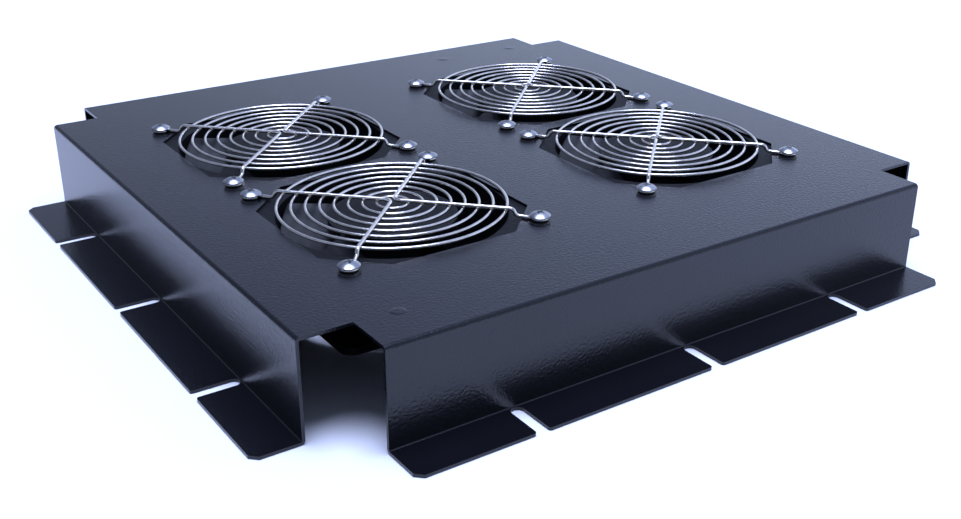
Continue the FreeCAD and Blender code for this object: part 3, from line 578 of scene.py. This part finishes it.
# %% [markdown]
# A finished guard is one welded thing, so its rings and its two spoke wires become one piece. It
# is shown in place of the construction model's guard, whose wires are square.


# %% Finger guards
def make_guard(name):
    """All rings and both spoke wires of one guard, as one piece."""
    centre = Vector((FAN_CENTRES[name].x, FAN_CENTRES[name].y, 0))
    wire = bmesh.new()
    for k in range(RING_COUNT):
        radius = RING_FIRST + RING_PITCH * k
        ring = arc(centre + Vector((0, 0, RING_LEVEL)), radius, 0, 360, RING_POINTS)[:-1]
        tube(wire, ring, RING_WIRE / 2, closed=True)
    for side in (-1, 1):
        back = Vector((side, 1, 0)).normalized()
        front = Vector((side, -1, 0)).normalized()
        tube(wire, [centre + spot for spot in spoke_path(back, front)], SPOKE_WIRE / 2)
    bmesh.ops.recalc_face_normals(wire, faces=wire.faces)
    guard = mesh_object(f"guard_wire_{name}", wire, wire_chrome)
    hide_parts(f"finger_guard_{name}")
    return guard


guards = [make_guard(name) for name in FANS]
print("guards:", [len(guard.data.polygons) for guard in guards], "faces")

# %% [markdown]
# ## Screws with a cross recess
#
# Each guard is held by four M4 screws with wide, low domes. The dome is turned from an arc, and
# the recess is a cutter in the shape of a cross that narrows downwards, taken away with a boolean.
# One screw is made once, and every other screw is a copy of it, turned a little, because nobody
# drives sixteen screws to the same angle.

# %% Sizes of the screws
HEAD_RADIUS = 5.3 * MM
HEAD_RIM = 0.6 * MM
HEAD_HEIGHT = 2.5 * MM
SCREW_RADIUS = 2.0 * MM
SCREW_LENGTH = 12.0 * MM
THREAD_PITCH = 0.7 * MM
THREAD_ROOT = 0.86
TIP_SHARE = 0.7
SEAT_SHARE = 0.97
EDGE_SHARE = 0.2
DOME_POINTS = 8
HEAD_SEAT = PLATE_TOP + SPOKE_WIRE * math.sqrt(math.pi / 4)
RECESS_WIDTH = 1.3 * MM
RECESS_REACH = 2.3 * MM
RECESS_DEPTH = 1.9 * MM
CUTTER_ABOVE = 0.5 * MM
CUTTER_TOP = 1.15
CUTTER_BOTTOM = 0.5
DRIVE_STEP = 37
print("screw seat", round((HEAD_SEAT - PLATE_TOP) / MM, 2), "mm above the plate")

# %% [markdown]
# The half section runs from the tip of the shank up to the top of the dome. The thread is a row
# of even ridges, not a helix: only its outline could ever be seen, below the plate.


# %% Half section of a screw
def screw_profile():
    """Half section from the tip of the shank to the top of the dome, round the screw's own seat."""
    rise = HEAD_HEIGHT - HEAD_RIM
    ball = (HEAD_RADIUS**2 + rise**2) / (2 * rise)
    widest = math.asin(HEAD_RADIUS / ball)
    profile = [(0, -SCREW_LENGTH), (SCREW_RADIUS * TIP_SHARE, -SCREW_LENGTH)]
    turns = int(SCREW_LENGTH / THREAD_PITCH) - 1
    for k in range(turns):
        low = -SCREW_LENGTH + THREAD_PITCH * (k + 0.5)
        profile += [(SCREW_RADIUS * THREAD_ROOT, low), (SCREW_RADIUS, low + THREAD_PITCH / 2)]
    profile += [(SCREW_RADIUS, 0), (HEAD_RADIUS * SEAT_SHARE, 0),
                (HEAD_RADIUS, HEAD_RIM * EDGE_SHARE)]
    for k in range(DOME_POINTS + 1):
        lean = widest * (1 - k / DOME_POINTS)
        profile.append((ball * math.sin(lean), HEAD_HEIGHT - ball * (1 - math.cos(lean))))
    profile[-1] = (0, HEAD_HEIGHT)
    return profile


print("a screw is turned from", len(screw_profile()), "points")

# %% [markdown]
# The punch that forms the recess is a cross whose arms taper towards its tip. The cutter is that
# punch, a little taller than the recess, so that it leaves no skin on top of the dome.


# %% Cutter for the cross recess
def cross_cutter():
    """A cross-shaped wedge, wide at the top of the head and narrow at its bottom."""
    cutter = bmesh.new()
    half = RECESS_WIDTH / 2
    outline = []
    for k in range(4):
        turn = Matrix.Rotation(math.pi / 2 * k, 3, "Z")
        corners = ((half, half, 0), (half, RECESS_REACH, 0), (-half, RECESS_REACH, 0))
        outline += [turn @ Vector(corner) for corner in corners]
    above = Vector((0, 0, HEAD_HEIGHT + CUTTER_ABOVE))
    below = Vector((0, 0, HEAD_HEIGHT - RECESS_DEPTH))
    top = [cutter.verts.new(spot * CUTTER_TOP + above) for spot in outline]
    low = [cutter.verts.new(spot * CUTTER_BOTTOM + below) for spot in outline]
    count = len(outline)
    cutter.faces.new(top)
    cutter.faces.new(low[::-1])
    for k in range(count):
        cutter.faces.new([low[k], low[(k + 1) % count], top[(k + 1) % count], top[k]])
    bmesh.ops.recalc_face_normals(cutter, faces=cutter.faces)
    return cutter


print("recess", round(RECESS_DEPTH / MM, 1), "mm deep")

# %% [markdown]
# The blank and the cutter are put in the scene only for as long as the boolean needs them. The
# result is kept as a mesh, and both objects are removed again.


# %% One screw
def scratch_object(name, data):
    """A bare object in the scene, made from a bmesh."""
    mesh = bpy.data.meshes.new(name)
    data.to_mesh(mesh)
    data.free()
    thing = bpy.data.objects.new(name, mesh)
    bpy.context.scene.collection.objects.link(thing)
    return thing


def make_screw_mesh():
    """The finished screw as a mesh, made once."""
    solid = bmesh.new()
    turn_profile(solid, screw_profile(), Vector((0, 0, 0)))
    bmesh.ops.recalc_face_normals(solid, faces=solid.faces)
    screw = scratch_object("screw_blank", solid)
    cutter = scratch_object("cross_cutter", cross_cutter())
    cut = screw.modifiers.new("recess", "BOOLEAN")
    cut.operation = "DIFFERENCE"
    cut.object = cutter
    evaluated = screw.evaluated_get(bpy.context.evaluated_depsgraph_get())
    mesh = bpy.data.meshes.new_from_object(evaluated)
    bpy.data.objects.remove(screw)
    bpy.data.objects.remove(cutter)
    return mesh


screw_mesh = make_screw_mesh()
print("one screw has", len(screw_mesh.polygons), "faces")

# %% [markdown]
# The four screws of a guard sit at the corners of a square. Each copy is added to the mesh, and
# then only its own points are moved to its place and turned to its own angle.


# %% All screws
def make_screws(name, order):
    """Four screws of one guard, joined into one piece."""
    centre = Vector((FAN_CENTRES[name].x, FAN_CENTRES[name].y, HEAD_SEAT))
    joined = bmesh.new()
    for k in range(4):
        bearing = math.radians(45 + 90 * k)
        spot = centre + Vector((math.cos(bearing), math.sin(bearing), 0)) * SCREW_CIRCLE
        drive = math.radians(DRIVE_STEP * (order * 4 + k) % 90)
        place = Matrix.Translation(spot) @ Matrix.Rotation(drive, 4, "Z")
        joined.from_mesh(screw_mesh)
        joined.verts.ensure_lookup_table()
        latest = joined.verts[-len(screw_mesh.vertices):]
        bmesh.ops.transform(joined, matrix=place, verts=latest)
    screws = mesh_object(f"dome_screws_{name}", joined, screw_zinc)
    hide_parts(f"guard_screws_{name}")
    return screws


screws = [make_screws(name, order) for order, name in enumerate(FANS)]
print("screws on", len(screws), "guards")

# %% [markdown]
# ## Marks of the welded studs
#
# Studs are shot-welded to the underside of the plate. The heat lifts the sheet by a hair on the
# other side, so a small round mark shows through the powder coat above each stud. A very low disc
# with a rounded rim is enough, because it only has to bend the reflection.

# %% Stud marks
STUD_RADIUS = 3 * MM
MARK_RADIUS = 3.6 * MM
MARK_RIM = 0.8 * MM
MARK_HEIGHT = 0.16 * MM
MARK_ROOT = 0.3 * MM
SKIRT_HEIGHT = 0.02 * MM
SKIRT_SPREAD = 1.02
RIM_POINTS = 6


def stud_spots():
    """Where the studs stand, each a stud's radius inside an end of its node's box."""
    spots = set()
    for name in nodes:
        if name.endswith(("_stud", "_studs")):
            low, high = corners_of(name)
            middle = round((low.y + high.y) / 2, 5)
            spots |= {(round(x, 5), middle) for x in (low.x + STUD_RADIUS, high.x - STUD_RADIUS)}
    return sorted(spots)


def make_mark(order, spot):
    """A low disc with a rounded rim that is rooted in the plate."""
    centre = Vector((*spot, PLATE_TOP))
    disc = bmesh.new()
    profile = [(0, -MARK_ROOT), (MARK_RADIUS * SKIRT_SPREAD, -MARK_ROOT),
               (MARK_RADIUS, -SKIRT_HEIGHT)]
    for k in range(RIM_POINTS + 1):
        share = k / RIM_POINTS
        height = MARK_HEIGHT * (0.5 - 0.5 * math.cos(math.pi * share))
        profile.append((MARK_RADIUS - MARK_RIM * share, height))
    profile.append((0, MARK_HEIGHT))
    turn_profile(disc, profile, centre)
    bmesh.ops.recalc_face_normals(disc, faces=disc.faces)
    mark = mesh_object(f"weld_mark_{order}", disc, pan_coat)
    return mark


marks = [make_mark(order, spot) for order, spot in enumerate(stud_spots(), start=1)]
print("weld marks:", [mark.name for mark in marks])

# %% [markdown]
# ## Floor and backdrop
#
# The tray lies on a plain white sweep. It is bright because the light on it is bright, and it
# keeps every shadow: under the plate it is nearly black, which shows through the open corners.

# %% Floor
FLOOR_HALF = 6.0
FLOOR_GAP = 0.2 * MM
FIBRE_SIZE = 0.4 * MM


def make_floor():
    """One large square of white board, a hair below the flanges."""
    sheet = bmesh.new()
    level = cad_box[0].z - FLOOR_GAP
    spots = [Vector((x * FLOOR_HALF, y * FLOOR_HALF, level))
             for x, y in ((-1, -1), (1, -1), (1, 1), (-1, 1))]
    sheet.faces.new([sheet.verts.new(spot) for spot in spots])
    floor = scratch_object("studio_floor", sheet)
    material, tree, shader = new_material("matt_white_board", Roughness=0.9)
    shader.inputs["Specular IOR Level"].default_value = 0.0
    place = add_node(tree, "ShaderNodeTexCoord").outputs["Object"]
    fibre = add_node(tree, "ShaderNodeTexNoise", inputs={
        "Vector": place, "Scale": 1 / FIBRE_SIZE, "Detail": 2.0})
    tones = add_node(tree, "ShaderNodeValToRGB", inputs={"Fac": fibre.outputs["Fac"]},
                     stops=[(0.2, linear("#f3f4f6")), (0.8, linear("#f7f7f8"))])
    tree.links.new(tones.outputs["Color"], shader.inputs["Base Color"])
    floor.data.materials.append(material)
    return floor


floor = make_floor()
print("floor at", round(floor.data.vertices[0].co.z / MM, 2), "mm")

# %% [markdown]
# ## Studio light
#
# A black, glossy object shows almost nothing but its reflections, so what matters is what stands
# round it. The room is a pale blue light tent that is brightest near the horizon and on the right.
# A wide softbox hangs straight above the tray. It whitens the floor, puts a bright line on every
# wire that crosses the view, and leaves the wires that run along the view darker.

# %% World and lamps
TENT_STRENGTH = 1.65
TENT_UPWARDS = [
    (0.0, "#d2e2ff"), (0.26, "#cbdbff"), (0.33, "#b0bfe7"), (0.42, "#a7b4de"), (0.6, "#9aa8d1")]
TENT_LEFT_TO_RIGHT = [(0.35, "#888888"), (0.65, "#bcbcbc"), (0.78, "#eeeeee"), (0.88, "#ffffff")]
SOFTBOX_HEIGHT = 3.0
SOFTBOX_ANGLE = 36
SOFTBOX_LIGHT = 4.9
SOFTBOX_COLOUR = "#c6d3ff"


def make_world():
    """Light from the tent for every ray, except that the camera itself sees plain white."""
    world = bpy.data.worlds.new("light_tent")
    bpy.context.scene.world = world
    world.use_nodes = True
    tree = world.node_tree
    tree.nodes.clear()
    direction = add_node(tree, "ShaderNodeTexCoord").outputs["Generated"]
    axes = add_node(tree, "ShaderNodeSeparateXYZ", inputs={"Vector": direction}).outputs
    across = add_node(tree, "ShaderNodeMapRange", inputs={"Value": axes["X"], "From Min": -1.0})
    by_height = add_node(tree, "ShaderNodeValToRGB", inputs={"Fac": axes["Z"]},
                         stops=[(at, linear(colour)) for at, colour in TENT_UPWARDS])
    by_side = add_node(tree, "ShaderNodeValToRGB", inputs={"Fac": across.outputs["Result"]},
                       stops=[(at, linear(colour)) for at, colour in TENT_LEFT_TO_RIGHT])
    sky = add_node(tree, "ShaderNodeVectorMath", {"operation": "MULTIPLY"}, {
        0: by_height.outputs["Color"], 1: by_side.outputs["Color"]})
    tent = add_node(tree, "ShaderNodeBackground", inputs={
        "Color": sky.outputs["Vector"], "Strength": TENT_STRENGTH})
    white = add_node(tree, "ShaderNodeBackground", inputs={
        "Color": (1, 1, 1, 1), "Strength": 1.0})
    rays = add_node(tree, "ShaderNodeLightPath").outputs
    mix = add_node(tree, "ShaderNodeMixShader", inputs={
        0: rays["Is Camera Ray"], 1: tent.outputs["Background"], 2: white.outputs["Background"]})
    output = add_node(tree, "ShaderNodeOutputWorld")
    tree.links.new(mix.outputs["Shader"], output.inputs["Surface"])


def overhead_softbox():
    """A round softbox straight above, so far away that it lights the whole floor alike."""
    light = bpy.data.lights.new("overhead_softbox", "SUN")
    light.angle = math.radians(SOFTBOX_ANGLE)
    light.energy = SOFTBOX_LIGHT
    light.color = linear(SOFTBOX_COLOUR)[:3]
    lamp = bpy.data.objects.new("overhead_softbox", light)
    lamp.location = (0, 0, SOFTBOX_HEIGHT)
    bpy.context.scene.collection.objects.link(lamp)
    return lamp


make_world()
lamp = overhead_softbox()
print("lamp:", lamp.name)

# %% [markdown]
# ## Camera
#
# The camera looks down on one corner of the tray from a little under a metre away. Its place,
# direction and lens were worked out from the known size of the fans. A slight shift to the side
# frames the tray without turning the camera.

# %% Camera
CAMERA_PLACE = Vector((-363.6, -558.9, 277.4)) * MM
CAMERA_AHEAD = Vector((0.5271, 0.7433, -0.4118))
CAMERA_RIGHT = Vector((0.8182, -0.5748, 0.0098))
SENSOR_WIDTH = 36
LENS = 45.79
SIDE_SHIFT = -0.0351
CLIP_START, CLIP_END = 0.02, 50


def make_camera():
    """A camera from its place and the two directions ahead and to the right."""
    data = bpy.data.cameras.new("studio_camera")
    data.sensor_width = SENSOR_WIDTH
    data.lens = LENS
    data.shift_x = SIDE_SHIFT
    data.clip_start = CLIP_START
    data.clip_end = CLIP_END
    camera = bpy.data.objects.new("studio_camera", data)
    ahead = CAMERA_AHEAD.normalized()
    right = (CAMERA_RIGHT - ahead * CAMERA_RIGHT.dot(ahead)).normalized()
    up = right.cross(ahead)
    turn = Matrix((right, up, -ahead)).transposed().to_4x4()
    camera.matrix_world = Matrix.Translation(CAMERA_PLACE) @ turn
    bpy.context.scene.collection.objects.link(camera)
    bpy.context.scene.camera = camera
    return camera


camera = make_camera()
bpy.context.scene.view_settings.view_transform = "Standard"
print("camera at", [round(v, 3) for v in camera.location])
